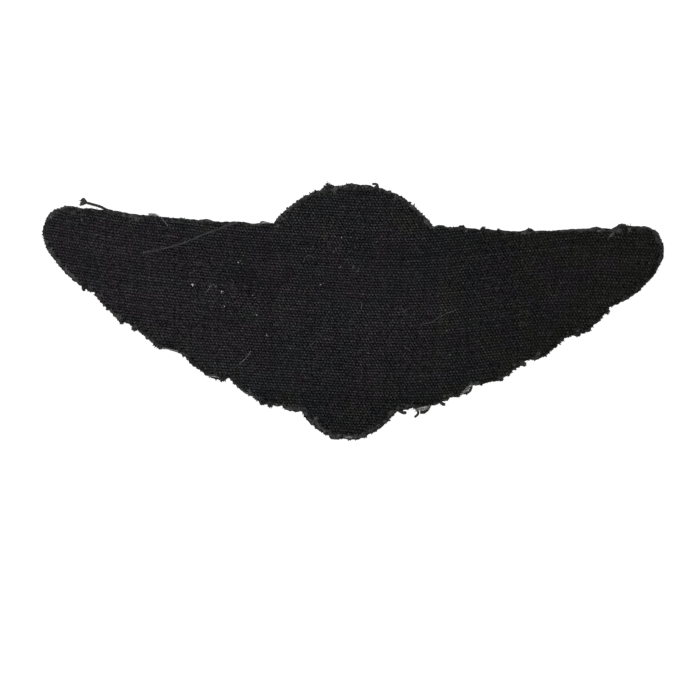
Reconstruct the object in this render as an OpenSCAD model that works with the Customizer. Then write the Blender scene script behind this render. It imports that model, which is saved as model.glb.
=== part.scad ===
// Wing-shaped cloth badge, lying on its face with its backing up.
// Two layers are cut to one outline: a felt ground, and a woven cotton
// backing pasted over it. The backing is cut a little smaller, so a rim of
// felt shows all round it. The outline is a pair of wings with a dome on top
// and a small lobe below, and the lower edges are scalloped like feathers.
// Millimetres. The badge lies in the XY plane, +Z up, with +Y towards the dome.

/* [Outline] */
// Width from wing tip to wing tip
span = 108; // [96:1:116]
// Height from the bottom of the lobe to the top of the dome
height = 44.6; // [43.8:0.2:45.4]
// Radius of the dome above the wings
dome_r = 17.4; // [16.4:0.2:18.4]
// Radius of the lobe below the wings
lobe_r = 9.1; // [8.7:0.1:9.5]

/* [Layers] */
// Thickness of the felt ground
felt_thickness = 1.4; // [1:0.1:3]
// Thickness of the cotton backing with its paste
backing_thickness = 1; // [1:0.1:1.6]
// Clearance between the two layers
layer_gap = 0.05; // [0.05:0.05:0.2]
// Width of the felt rim, as a share of the widths in the tables
rim_share = 1; // [0.6:0.1:1.4]

/* [Hidden] */

// The tables are drawn at this span
drawn_span = 108;
// Turn of the outline between two points of a rounded corner, in degrees
arc_step = 10;
// A rounding takes at most this share of the shorter edge beside it
corner_share = 0.48;
circle_fn = 96;

felt_black = [0.17, 0.17, 0.17];
cotton_black = [0.10, 0.10, 0.105];

// Corners of the wings, anticlockwise from the dome's right foot.
// Columns: x, y, corner radius, and width of the felt rim at that corner.
X = 0;
Y = 1;
RADIUS = 2;
RIM = 3;
wings = [
    // the edge hidden under the dome
    [13.8, 15.0, 0.3, 0.3],
    // left wing, top edge and tip
    [-14.2, 15.5, 0.3, 0.3],
    [-26.7, 16.0, 20, 0.3],
    [-42.0, 17.6, 12, 0.5],
    [-52.3, 18.6, 2.6, 0.6],
    [-54.3, 13.9, 4.4, 0.5],
    [-53.3, 10.6, 5, 0.5],
    [-50.5, 7.0, 12, 0.4],
    // left wing, lower edge: the low corner of each feather, then the notch after it
    [-46.9, 4.1, 0.6, 0.3],
    [-45.4, 3.3, 0.4, 0.4],
    [-43.9, 1.5, 6, 0.4],
    [-40.6, -1.7, 0.9, 0.3],
    [-39.0, -2.0, 0.3, 0.4],
    [-34.0, -6.2, 2.2, 0.6],
    [-30.3, -7.0, 0.5, 0.5],
    [-25.6, -11.1, 2.8, 0.4],
    [-21.9, -11.6, 0.3, 0.4],
    [-19.1, -13.9, 8, 0.5],
    [-15.7, -16.0, 2, 0.4],
    [-14.4, -16.0, 0.8, 0.5],
    [-11.3, -17.1, 1.6, 0.6],
    // the edge hidden under the lobe
    [-9.1, -17.1, 0.3, 0.6],
    // right wing, lower edge: each notch, then the low corner of the feather after it
    [7.3, -17.3, 0.3, 0.4],
    [15.0, -15.8, 6, 0.4],
    [20.1, -14.1, 0.9, 0.3],
    [20.9, -12.6, 0.4, 0.5],
    [25.9, -11.8, 1.7, 0.3],
    [29.8, -8.6, 0.3, 0.4],
    [33.3, -7.8, 1.6, 0.3],
    [37.3, -4.4, 0.4, 0.3],
    [40.9, -3.4, 1.8, 0.3],
    [43.0, -1.4, 8, 0.4],
    [44.8, 0.8, 0.4, 0.4],
    // right wing, tip and top edge
    [47.5, 2.1, 8, 0.4],
    [50.0, 3.7, 6, 0.5],
    [53.0, 7.3, 6, 0.6],
    [54.3, 10.9, 4.4, 0.7],
    [52.5, 14.8, 2.5, 0.5],
    [47.7, 15.2, 4, 0.4],
    [43.4, 14.6, 7, 0.3],
    [28.9, 14.1, 30, 0.3]
];
dome_rim = 0.7;
lobe_rim = 0.9;

stretch = span / drawn_span;
dome_centre = [-0.2, height / 2 - dome_r];
lobe_centre = [-0.9, lobe_r - height / 2];
backing_z = felt_thickness + layer_gap;

function corner(i) = wings[(i + len(wings)) % len(wings)];
function place(c) = [c[X] * stretch, c[Y]];
function unit(v) = v / norm(v);
function left_of(v) = [-v[1], v[0]];
function cross_z(a, b) = a[0] * b[1] - a[1] * b[0];

// Direction of the edge that leaves corner i
function heading(i) = unit(place(corner(i + 1)) - place(corner(i)));

// Corner i of the inset outline: it moves inwards by its share of rim from both edges
function inset_corner(i, inset) =
    let (
        m = left_of(heading(i - 1)),
        n = left_of(heading(i))
    )
    place(corner(i)) + (m + n) / (1 + m * n) * corner(i)[RIM] * inset;

// The points of a corner b rounded to radius r, between its neighbours a and c
function rounded(a, b, c, r) =
    let (
        d = unit(b - a),
        e = unit(c - b),
        turn = atan2(cross_z(d, e), d * e),
        half = abs(turn) / 2,
        back = min(r * tan(half), corner_share * min(norm(b - a), norm(c - b))),
        centre = b - d * back + left_of(d) * sign(turn) * back / tan(half),
        start = b - d * back - centre,
        steps = max(1, ceil(abs(turn) / arc_step))
    )
    [for (k = [0:steps])
        let (w = turn * k / steps)
        centre + [
            start[0] * cos(w) - start[1] * sin(w),
            start[0] * sin(w) + start[1] * cos(w)
        ]
    ];

// A radius grows by the rim at a notch and shrinks by it at an outer corner
function wing_points(inset) = [
    for (i = [0:len(wings) - 1])
        let (
            b = inset_corner(i, inset),
            opens = cross_z(heading(i - 1), heading(i)) < 0,
            r = corner(i)[RADIUS] + (opens ? 1 : -1) * corner(i)[RIM] * inset
        )
        each rounded(
            inset_corner(i - 1, inset), b, inset_corner(i + 1, inset), max(r, 0.2)
        )
];

// The wing tips set the sideways centre of the badge
tips = [for (p = wing_points(0)) p[0]];
centring = -(min(tips) + max(tips)) / 2;

// The outline of the badge, moved inwards by the rim times inset
module outline(inset) {
    translate([centring, 0]) {
        polygon(wing_points(inset));
        translate(dome_centre)
            circle(r = dome_r - dome_rim * inset, $fn = circle_fn);
        translate(lobe_centre)
            circle(r = lobe_r - lobe_rim * inset, $fn = circle_fn);
    }
}

module felt_ground() {
    color(felt_black)
        linear_extrude(height = felt_thickness)
            outline(0);
}

module backing_cloth() {
    color(cotton_black)
        translate([0, 0, backing_z])
            linear_extrude(height = backing_thickness)
                outline(rim_share);
}

felt_ground();
backing_cloth();
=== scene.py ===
# %% [markdown]
# # A cloth wing badge, lying on its face
#
# A badge of this kind is worked on black felt. When the front is done, a woven cotton
# backing is pasted over the back, and both are cut out by hand along the same line. The
# badge lies face down here, so what shows is the cotton, a thin rim of felt round it,
# and what scissors and wear leave behind: cut yarn ends, wool fluff, threads and lint.
#
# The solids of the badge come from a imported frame, in metres, with +Z up. Each cloth
# piece below stands where its solid stands, and is finished as cloth.

# %% Load the frame
import math
import bmesh
import bpy
import numpy as np
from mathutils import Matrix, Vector, kdtree, noise


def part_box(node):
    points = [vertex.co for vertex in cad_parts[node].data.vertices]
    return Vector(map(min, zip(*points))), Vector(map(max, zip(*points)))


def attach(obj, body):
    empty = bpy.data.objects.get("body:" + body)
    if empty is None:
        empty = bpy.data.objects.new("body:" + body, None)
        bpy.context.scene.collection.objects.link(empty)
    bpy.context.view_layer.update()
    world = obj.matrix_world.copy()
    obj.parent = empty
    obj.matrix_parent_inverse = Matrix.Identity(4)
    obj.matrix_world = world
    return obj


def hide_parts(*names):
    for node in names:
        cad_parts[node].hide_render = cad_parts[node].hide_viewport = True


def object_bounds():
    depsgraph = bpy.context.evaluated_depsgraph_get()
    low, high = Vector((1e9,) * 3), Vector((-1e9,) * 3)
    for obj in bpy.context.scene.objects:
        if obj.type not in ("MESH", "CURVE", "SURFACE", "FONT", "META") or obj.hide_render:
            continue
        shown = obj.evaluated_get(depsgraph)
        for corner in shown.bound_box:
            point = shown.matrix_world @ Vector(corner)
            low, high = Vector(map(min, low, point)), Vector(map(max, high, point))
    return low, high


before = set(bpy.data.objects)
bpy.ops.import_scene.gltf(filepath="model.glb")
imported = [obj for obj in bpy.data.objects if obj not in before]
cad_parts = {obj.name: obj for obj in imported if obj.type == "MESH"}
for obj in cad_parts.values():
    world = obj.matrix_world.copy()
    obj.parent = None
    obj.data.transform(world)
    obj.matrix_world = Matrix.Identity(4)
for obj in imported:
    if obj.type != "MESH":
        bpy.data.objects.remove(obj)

MM = 0.001
cad_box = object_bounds()
print("frame nodes:", ", ".join(sorted(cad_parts)))

# %% [markdown]
# ## The camera
#
# The badge was photographed from straight above. One pixel of the 700-pixel frame is
# then the same length all over the cloth, and a spot of the photograph can be named in
# pixels and turned into a place on the badge. An orthographic camera would do that too,
# but a long lens also serves the views from the side.

# %% Camera over the middle of the picture
PHOTO_SIZE_PX = 700
PIXEL = 0.17391 * MM
BADGE_CENTRE_PX = (353.1, 312.2)
LENS_MM = 120
SENSOR_MM = 36

cloth_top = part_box("backing_cloth")[1].z


def at_pixels(spots, height=0):
    """Places over pixels of the photograph, at one height, as an array of points."""
    x, y = np.transpose(spots)
    x = (x - BADGE_CENTRE_PX[0]) * PIXEL
    y = (BADGE_CENTRE_PX[1] - y) * PIXEL
    return np.column_stack([x, y, np.full(len(x), height)])


def at_pixel(x, y, height=0):
    """The place over one pixel."""
    return at_pixels([(x, y)], height)[0]


def placed(name, data):
    """A new object of the scene, at the origin."""
    made = bpy.data.objects.new(name, data)
    bpy.context.scene.collection.objects.link(made)
    return made


camera_data = bpy.data.cameras.new("camera")
camera_data.lens = LENS_MM
camera_data.sensor_width = SENSOR_MM
camera_data.clip_start = 0.01
camera_data.clip_end = 20
camera = placed("camera", camera_data)
camera_distance = PHOTO_SIZE_PX * PIXEL * LENS_MM / SENSOR_MM
middle_px = PHOTO_SIZE_PX / 2
camera.location = at_pixel(middle_px, middle_px, cloth_top + camera_distance)
bpy.context.scene.camera = camera
print("camera height over the cloth:", round(camera_distance, 3), "m")

# %% [markdown]
# ## The cut line
#
# Both layers are flat solids, so the line that each was cut along is the edge of its
# upper face. It is read from the frame and not typed again, so the cloth always fits
# the solid. A node's mesh is loose triangles, so a copy of it is merged, and the edges
# with the upper face on one side only are the cut line.

# %% Read a cut line from a node
TINY = 0.001 * MM


def edge_corners(node):
    """Corners of the upper face's edge, anticlockwise."""
    bm = bmesh.new()
    bm.from_mesh(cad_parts[node].data)
    bmesh.ops.remove_doubles(bm, verts=bm.verts, dist=TINY)
    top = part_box(node)[1].z - TINY
    lids = {f for f in bm.faces if all(v.co.z > top for v in f.verts)}
    rim = [e for e in bm.edges if len(lids.intersection(e.link_faces)) == 1]
    beside = {}
    for edge in rim:
        a, b = edge.verts
        beside.setdefault(a, []).append(b)
        beside.setdefault(b, []).append(a)
    walked = [rim[0].verts[0]]
    here = beside[walked[0]][0]
    while here != walked[0]:
        ahead = next(v for v in beside[here] if v != walked[-1])
        walked.append(here)
        here = ahead
    points = np.array([v.co.xy for v in walked])
    bm.free()
    x, y = points.T
    area = np.sum(x * np.roll(y, -1) - np.roll(x, -1) * y) / 2
    return points if area > 0 else points[::-1]


# %% A line with points at even steps
class CutLine:
    """A closed line, anticlockwise, with points at even steps."""

    STEP = 0.05 * MM
    # a direction is taken over this many steps each way
    REACH = 4
    # one point in this many is enough to tell inside from outside
    COARSE = 3

    def __init__(self, corners):
        closed = np.vstack([corners, corners[:1]])
        run = np.r_[0, np.cumsum(np.hypot(*np.diff(closed, axis=0).T))]
        self.length = run[-1]
        self.count = round(self.length / self.STEP)
        even = np.arange(self.count) * self.length / self.count
        self.points = np.column_stack([np.interp(even, run, closed[:, k]) for k in (0, 1)])
        ahead = np.roll(self.points, -self.REACH, axis=0) - np.roll(self.points, self.REACH, axis=0)
        self.along = ahead / np.hypot(*ahead.T)[:, None]
        self.outward = np.column_stack([self.along[:, 1], -self.along[:, 0]])
        self.tree = kdtree.KDTree(self.count)
        for k, (x, y) in enumerate(self.points):
            self.tree.insert((x, y, 0), k)
        self.tree.balance()

    def moved(self, amounts):
        """A new line, with every point of this one moved outwards by its amount."""
        return CutLine(self.points + self.outward * amounts[:, None])

    def inside(self, spots):
        """Which of the spots lie inside the line."""
        x, y = spots.T
        within = np.zeros(len(x), bool)
        corners = self.points[:: self.COARSE]
        for (ax, ay), (bx, by) in zip(corners, np.roll(corners, -1, axis=0)):
            if ay != by:
                between = (ay > y) != (by > y)
                within ^= between & (x < (bx - ax) * (y - ay) / (by - ay) + ax)
        return within

    def nearest(self, spots):
        """For each spot, the nearest point's number and how far it is."""
        found = [self.tree.find((x, y, 0)) for x, y in spots]
        return np.array([f[1] for f in found]), np.array([f[2] for f in found])

    def nearest_to_pixel(self, x, y):
        """The number of the point nearest to a pixel of the photograph."""
        return self.nearest([at_pixel(x, y)[:2]])[0][0]

    def at(self, k):
        """Point k with the directions outwards and along, in 3D."""
        return [np.append(v[k], 0) for v in (self.points, self.outward, self.along)]


felt_line = CutLine(edge_corners("felt_ground"))
backing_line = CutLine(edge_corners("backing_cloth"))
print("round the felt:", round(felt_line.length / MM), "mm")

# %% [markdown]
# ## The weave
#
# The backing is poplin, a plain weave with fine warp yarns packed closely over thicker
# weft yarns. The wefts make low ribs across the cloth. Each warp yarn goes over one rib
# and under the next, so its crowns lie like bricks in a wall, and between four crowns
# there is a small dark pit.
#
# With u counting warp yarns and v counting weft yarns, three waves draw this cloth:
# cos(2 pi v) is the ribs, and cos(pi (u + v)) and cos(pi (u - v)) together are the
# crowns. The yarns are twisted, so the crowns lean, and the first of the two is the
# stronger. The same waves raise the mesh here, and later on they colour it, with
# painted shade in the pits and painted highlights on the crowns.
#
# The cloth wasn't pasted on quite straight. A short table gives the slope of the ribs
# and the spacing of the yarns at a few places. Adding up the slopes gives the bow of
# the ribs, and adding up the yarns to the millimetre gives the place of each yarn.

# %% Where each yarn lies
# places along the badge, and there the slope of the ribs and the yarns' spacing
WEAVE_X_MM = (-44, -33, -20, 0, 8, 22, 32, 44)
RIB_SLOPE = (-0.17, -0.10, -0.07, -0.06, 0, 0.11, 0.08, -0.05)
WEFT_PITCH_PX = (2.9, 2.9, 2.8, 2.8, 2.8, 2.85, 2.85, 3.0)
WARP_PITCH_PX = (1.5, 1.55, 1.6, 1.6, 1.6, 1.55, 1.55, 1.55)
WARP_LEAN = 0.015
MAP_STEPS = 600

map_x = np.linspace(cad_box[0].x - 4 * MM, cad_box[1].x + 4 * MM, MAP_STEPS)
map_step = map_x[1] - map_x[0]


def along_badge(values):
    """Values of a table at every step along the badge."""
    return np.interp(map_x, np.array(WEAVE_X_MM) * MM, values)


rib_rise = np.cumsum(along_badge(RIB_SLOPE)) * map_step
rib_rise -= rib_rise.mean()
weft_pitch = along_badge(WEFT_PITCH_PX) * PIXEL
warp_count = np.cumsum(map_step / (along_badge(WARP_PITCH_PX) * PIXEL))
warp_count -= np.interp(0, map_x, warp_count)
print("warp yarns across the badge:", round(np.interp(cad_box[1].x, map_x, warp_count) * 2))

# %% From yarn counts to places, and back
# size, reach and seed of the small drifts that every yarn has
DRIFTS_X = ((3.1 * MM, 0.07 * MM, 1.7), (1.2 * MM, 0.03 * MM, 2.9))
DRIFTS_Y = ((2.6 * MM, 0.09 * MM, 5.2), (1.0 * MM, 0.03 * MM, 7.7))


def waves(points, sizes):
    """Smooth noise at each place. sizes has the size, reach and seed of each wave."""
    return sum(
        reach * np.array([noise.noise((x / size, y / size, seed)) for x, y in points])
        for size, reach, seed in sizes
    )


def lay_yarns(counts):
    """Places of the yarn counts u and v."""
    x = np.interp(counts[:, 0], warp_count, map_x)
    y = counts[:, 1] * np.interp(x, map_x, weft_pitch) + np.interp(x, map_x, rib_rise)
    straight = np.column_stack([x, y])
    x = x + WARP_LEAN * y + waves(straight, DRIFTS_X)
    y = y + waves(straight, DRIFTS_Y)
    return np.column_stack([x, y])


def weft_count(points):
    """The weft yarns' count v at places, apart from the drifts."""
    x, y = points.T
    return (y - np.interp(x, map_x, rib_rise)) / np.interp(x, map_x, weft_pitch)


# %% [markdown]
# ## Lumps and nicks
#
# Nobody cuts felt along a clean line. The scissors stray a little, wool bulges out
# beside the cut, and there are nicks where the blades closed. Those that show in the
# photograph are listed here by their place, and small waves between them are noise.
# Where the cut slants across the ribs, each weft yarn's end stands out a little, so the
# edge is a row of steps. The cuts along the tops of the wings and round their tips are
# the cleanest. The cotton's line leaves out the narrow lumps, which are wool that
# bulges past it.

# %% The lumps and nicks that show
# for each: place in pixels, half-width in pixels, and how far out, or in if negative
EDGE_LUMPS_PX = (
    # top of the left wing
    (71, 207, 4, 0.8), (89, 209, 5, 1.4), (118, 212, 3, 0.8), (154, 214, 3, 1.2),
    (182, 219, 2, 0.6), (207, 220, 3, 1.2), (254, 224, 4, -1.2), (266, 223, 2, 1),
    # dome
    (304, 196, 1.5, 1), (315, 191, 1.5, 1.2), (327, 185, 2.5, 3),
    (358, 184, 3, -0.6), (399, 196, 5, 1.2), (413, 206, 1.5, 0.6),
    # top of the right wing
    (433, 227, 2, -0.8), (442, 226, 3, 2), (462, 227, 3, 2), (484, 228, 1.2, 2.2),
    (500, 230, 1.2, 1.2), (505, 231, 3, -0.5), (530, 230, 2.5, 2.2), (537, 231, 3, -0.8),
    (597, 228, 2.5, 1.6), (611, 229, 3, -1.2), (622, 225, 1.8, 1.6), (651, 227, 2.5, -0.8),
    # bottom of the right wing
    (613, 306, 2.5, -0.8), (608, 311, 1.2, 1.5), (590, 330, 1.2, 1.2), (587, 329, 1.5, -1.2),
    (579, 336, 1.5, 1.6), (567, 337, 5, -0.8), (519, 366, 3, 0.8), (503, 378, 1.6, -1.5),
    (499, 381, 3, 0.8), (480, 384, 8, 0.8), (473, 385, 1.5, -1), (467, 389, 1.8, -2.5),
    (454, 397, 5, -1.2), (423, 406, 8, 0.7), (402, 409, 2, -1), (394, 412, 3, 1.2),
    # lobe
    (372, 434, 12, -1), (364, 438, 1.6, 1.3), (350, 440, 1.2, 0.7), (344, 438, 1.6, -1.4),
    (334, 438, 3, 0.8), (324, 434, 1.2, -1), (314, 428, 8, -0.6), (303, 411, 2, -0.8),
    # bottom of the left wing
    (296, 411, 2.5, 0.9), (280, 407, 2.5, -1.4), (270, 405, 1.6, 2.5), (262, 404, 1.6, 1.8),
    (244, 392, 2.5, 0.8), (229, 379, 2.5, -1.3), (222, 380, 2, 2.8), (212, 377, 5, 1),
    (191, 364, 5, 1.2), (160, 347, 1.6, -1.3), (156, 346, 1.6, 1), (146, 338, 2, 0.5),
    (137, 329, 1.6, -1), (133, 328, 1.6, 2.8), (124, 322, 1.5, -0.9), (119, 321, 1.2, 1),
    (92, 292, 2.5, -1), (85, 288, 1.2, -1), (83, 288, 1.2, 1.4), (72, 280, 1.5, 0.8),
    # tips
    (44, 230, 12, 1.3), (46, 217, 4, 0.8), (57, 207, 5, -1),
    (663, 250, 14, 1.7), (659, 235, 4, 1), (653, 276, 5, 0.7),
)
print(len(EDGE_LUMPS_PX), "lumps and nicks")

# %% Where the scissors really went
NARROW_PX = 3
RIB_STEP = 0.09 * MM
# size, reach and seed of the small waves
FELT_WAVES = ((1.1 * MM, 0.09 * MM, 3.1), (0.4 * MM, 0.13 * MM, 3.2), (0.25 * MM, 0.09 * MM, 3.3))
COTTON_WAVES = ((0.8 * MM, 0.05 * MM, 3.4), (0.35 * MM, 0.06 * MM, 3.5))
FELT_INSET = 0.04 * MM
COTTON_INSET = 0.05 * MM


def roughness(line):
    """1 along the feathers, the dome and the lobe, and less on the wings' tips and tops."""
    from_middle = np.abs(line.points[:, 0])
    on_wing = np.clip((from_middle - 14 * MM) / (6 * MM), 0, 1)
    on_tip = np.clip((from_middle - 43 * MM) / (4 * MM), 0, 1)
    not_below = np.clip(line.outward[:, 1] / 0.5 + 1, 0, 1)
    return 1 - 0.6 * np.maximum(on_wing * not_below, on_tip)


def stray(line, narrowest_lump, small_waves, inset):
    """How far the cut strays outwards at each point of the line."""
    steps_of_ribs = RIB_STEP * np.cos(2 * math.pi * weft_count(line.points))
    amounts = waves(line.points, small_waves) * roughness(line) + steps_of_ribs - inset
    for x, y, width, out in EDGE_LUMPS_PX:
        if out < 0 or width > narrowest_lump:
            steps = np.abs(np.arange(line.count) - line.nearest_to_pixel(x, y))
            away = np.minimum(steps, line.count - steps) * line.STEP / PIXEL
            amounts += out * PIXEL * np.exp(-((away / width) ** 2) / 2)
    return amounts


felt_cut = felt_line.moved(stray(felt_line, 0, FELT_WAVES, FELT_INSET))
backing_cut = backing_line.moved(stray(backing_line, NARROW_PX, COTTON_WAVES, COTTON_INSET))
print("round the felt, as it was cut:", round(felt_cut.length / MM), "mm")

# %% [markdown]
# ## Cutting cloth from a grid
#
# Woven cloth is a grid, and it is cut without minding the yarns. So each layer starts
# as a bmesh grid that is larger than the badge, the cells that reach over the line are
# deleted, and the points along the new edge are drawn out to the line. A flat n-gon of
# the outline would be simpler, but has nothing inside it to shape, and a boolean cut
# leaves slivers. The points behind the edge are smoothed, so the cells don't bunch up.
#
# Points are gathered in lists and dicts, because a set of them has another order in
# each run. Blender's extrude operators make their new faces in another order each time
# too, so the sides of the layers are built face by face.

# %% Cut a grid to a line
SMOOTHING_ROUNDS = 3


def cut_from_grid(cells, counts, place, line):
    """A bmesh grid cut to a line. counts turns the grid's spots, from -1 to 1, into
    thread counts, which are kept in the attribute cloth, and place turns the counts
    into places. The third number in cloth is the distance from the edge in mm."""
    bm = bmesh.new()
    bmesh.ops.create_grid(bm, x_segments=cells[0], y_segments=cells[1], size=1)
    bm.verts.index_update()
    cloth = bm.verts.layers.float_vector.new("cloth")
    counted = counts(np.array([v.co.xy for v in bm.verts]))
    places = place(counted)
    within = line.inside(places)
    for vert, (x, y), (u, v) in zip(bm.verts, places, counted):
        vert.co = x, y, 0
        vert[cloth] = u, v, 0
    over = [f for f in bm.faces if not all(within[v.index] for v in f.verts)]
    bmesh.ops.delete(bm, geom=over, context="FACES")
    rim = unpinched_rim(bm)
    for vert, k in zip(rim, line.nearest([v.co.xy for v in rim])[0]):
        vert.co.xy = line.points[k]
    beside = dict.fromkeys(e.other_vert(v) for v in rim for e in v.link_edges)
    behind = [v for v in beside if not v.is_boundary]
    for _ in range(SMOOTHING_ROUNDS):
        bmesh.ops.smooth_vert(bm, verts=behind, factor=0.5, use_axis_x=True, use_axis_y=True)
    gaps = line.nearest([v.co.xy for v in bm.verts])[1]
    for vert, gap in zip(bm.verts, gaps):
        vert[cloth].z = gap / MM
    print("a grid of", cells[0], "by", cells[1], "cells is cut down to", len(bm.faces))
    return bm


def unpinched_rim(bm):
    """Cuts away the cells where the edge meets itself, and returns the edge's points."""
    while True:
        met = {}
        for edge in bm.edges:
            if edge.is_boundary:
                for vert in edge.verts:
                    met[vert] = met.get(vert, 0) + 1
        corners = [vert for vert, count in met.items() if count > 2]
        if not corners:
            return list(met)
        pinched = dict.fromkeys(f for vert in corners for f in vert.link_faces)
        bmesh.ops.delete(bm, geom=list(pinched), context="FACES")


# %% Build a wall down from an open edge
def doubled(bm, verts):
    """A second point at the place of each point, in a dict by the first."""
    return {vert: bm.verts.new(vert.co, vert) for vert in verts}


def wall(bm, rim, below):
    """Faces from an open edge to the second points below it, and their new open edge."""
    for edge in rim:
        a, b = edge.verts
        if edge.link_loops[0].vert == a:
            a, b = b, a
        bm.faces.new((a, b, below[b], below[a]))
    return [bm.edges.get([below[v] for v in edge.verts]) for edge in rim]


# %% Make a mesh object of a bmesh
def finished(bm, name):
    """The bmesh as an object at the origin, smooth, with its faces outwards."""
    bmesh.ops.recalc_face_normals(bm, faces=bm.faces)
    open_edges = sum(len(e.link_faces) != 2 for e in bm.edges)
    mesh = bpy.data.meshes.new(name)
    bm.to_mesh(mesh)
    bm.free()
    mesh.shade_smooth()
    triangles = sum(len(p.vertices) - 2 for p in mesh.polygons)
    print(name, "has", triangles, "triangles and", open_edges, "open edges")
    return placed(name, mesh)


# %% [markdown]
# ## The cotton backing
#
# The grid has two cells to each yarn, the fewest that can hold a crown and a pit. Each
# point keeps its yarn counts in the attribute cloth, so the material can draw its yarns
# in step with the bumps.
#
# At the edge the cotton is pressed down by the scissors, so its surface rolls over.
# Below, the edge goes down in a few rings to the paste, and one flat face closes the
# piece where it lies on the felt. That face is cut into triangles at once, because a
# face with over a thousand corners is drawn differently from program to program.

# %% The height of the cotton
backing_low, backing_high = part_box("backing_cloth")
RIB_HEIGHT = 0.030 * MM
CROWN_HEIGHT = 0.045 * MM
LEAN_SHARE = 0.68
SLUB_HEIGHT = 0.02 * MM
SLUB_LENGTH_MM = 9
SWELL_HEIGHT = 0.08 * MM
SWELL_SIZE_MM = 11
EDGE_ROLL = 0.25 * MM
ROLL_WIDTH_MM = 0.3
# yarns side by side are this far apart in the noise, so that each has slubs of its own
YARN_GAP = 7.7


def cloth_height(u, v, gap, x, y):
    """Height of the cotton from its highest crown, 0 or less. x and y are in mm."""
    rib = math.cos(2 * math.pi * v)
    leaning = LEAN_SHARE * math.cos(math.pi * (u + v))
    crown = leaning + (1 - LEAN_SHARE) * math.cos(math.pi * (u - v))
    warp_slub = noise.noise((round(u) * YARN_GAP, y / SLUB_LENGTH_MM, 2.0))
    weft_slub = noise.noise((x / SLUB_LENGTH_MM, round(v) * YARN_GAP, 4.0))
    swell = noise.noise((x / SWELL_SIZE_MM, y / SWELL_SIZE_MM, 6.0))
    rolled = math.exp(-gap / ROLL_WIDTH_MM)
    weave = RIB_HEIGHT * (rib - 1) + CROWN_HEIGHT * (crown - 1)
    return (
        weave * (1 - 0.4 * rolled)
        + SLUB_HEIGHT * (warp_slub + weft_slub - 1)
        + SWELL_HEIGHT * (swell - 1)
        - EDGE_ROLL * rolled
    )


# %% Cut the backing and raise its weave
WARPS = 412
WEFTS = 106
CELLS_PER_YARN = 2
# for each ring below the edge: how far out, and its share of the way down
CUT_RINGS = ((0.03 * MM, 0.35), (0.02 * MM, 0.7), (-0.05 * MM, 1.0))


def count_yarns(spots):
    """Spots of the grid as yarn counts, from the middle of the cloth."""
    return spots * np.array([WARPS, WEFTS]) / 2


def close_down(bm, line, top, bottom):
    """Takes the open edge down in rings, and closes it with a flat face."""
    rim = [e for e in bm.edges if e.is_boundary]
    for outset, share in CUT_RINGS:
        below = doubled(bm, dict.fromkeys(v for e in rim for v in e.verts))
        rim = wall(bm, rim, below)
        verts = list(below.values())
        for vert, k in zip(verts, line.nearest([v.co.xy for v in verts])[0]):
            vert.co.xy += Vector(line.outward[k] * outset)
            vert.co.z = top + (bottom - top) * share
    underside = bmesh.ops.holes_fill(bm, edges=rim, sides=0)["faces"]
    bmesh.ops.triangulate(bm, faces=underside)
    bmesh.ops.dissolve_degenerate(bm, dist=2 * TINY, edges=bm.edges)


def weave_backing():
    cells = WARPS * CELLS_PER_YARN, WEFTS * CELLS_PER_YARN
    bm = cut_from_grid(cells, count_yarns, lay_yarns, backing_cut)
    cloth = bm.verts.layers.float_vector["cloth"]
    for vert in bm.verts:
        x, y, _ = vert.co / MM
        vert.co.z = backing_high.z + cloth_height(*vert[cloth], x, y)
    edge_top = backing_high.z - 2 * SWELL_HEIGHT - EDGE_ROLL
    close_down(bm, backing_cut, edge_top, backing_low.z)
    return finished(bm, "backing_cotton")


backing = weave_backing()

# %% [markdown]
# ## The felt ground
#
# Felt has no yarns. It is a mat of wool fibres, so its grid is plain squares, and its
# surface is a little lumpy. The upper face is copied down to make the sheet, the side
# between the two is cut into rings, and the rings are pushed out to round the cut edge.
# Solidify would do the same, but gives no hold on the rings.
#
# Under the cotton the wool is pressed flat. In the rim outside it, nothing holds it down
# and it puffs up. The front is hidden in the photograph, so it is left as plain felt.

# %% Round the side of the felt, and puff up its rim
felt_low, felt_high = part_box("felt_ground")
FELT_SKIN = 0.05 * MM
FELT_RINGS = 4
FELT_BULGE = 0.10 * MM
PUFF_HEIGHT = 0.55 * MM
PUFF_WIDTH = 0.25 * MM


def round_edge(bm, bottom, top):
    """Cuts the side of the sheet into rings and pushes them out."""
    posts = [e for e in bm.edges if abs(e.verts[0].co.z - e.verts[1].co.z) > FELT_SKIN]
    bmesh.ops.subdivide_edges(bm, edges=posts, cuts=FELT_RINGS, use_grid_fill=True)
    side = [v for v in bm.verts if bottom + FELT_SKIN < v.co.z < top - FELT_SKIN]
    for vert, k in zip(side, felt_cut.nearest([v.co.xy for v in side])[0]):
        height = 2 * (vert.co.z - bottom) / (top - bottom) - 1
        vert.co.xy += Vector(felt_cut.outward[k] * FELT_BULGE * (1 - height**2))
    return side


def puff_rim(upper):
    """Raises the wool outside the cotton, and returns how free each point is."""
    spots = np.array([v.co.xy for v in upper])
    free = ~backing_cut.inside(spots)
    to_cotton = backing_cut.nearest(spots)[1]
    to_edge = felt_cut.nearest(spots)[1]
    rise = np.minimum(to_cotton / PUFF_WIDTH, 1) * (0.4 + 0.6 * np.minimum(to_edge / PUFF_WIDTH, 1))
    for vert, height in zip(upper, np.where(free, rise, 0) * PUFF_HEIGHT):
        vert.co.z += height
    return dict(zip(upper, free | (to_cotton < PUFF_WIDTH)))


# %% Cut the felt and give it a thickness
FELT_CELL = 0.3 * MM
FELT_CELLS = (376, 156)
# size and depth of the lumps, which are deeper where nothing presses the wool
LUMPS = ((0.9 * MM, 0.024 * MM), (0.4 * MM, 0.018 * MM))
FREE_LUMPS = 4


def square_places(spots):
    """Spots of the grid as places on the felt."""
    return spots * np.array(FELT_CELLS) * FELT_CELL / 2


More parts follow.
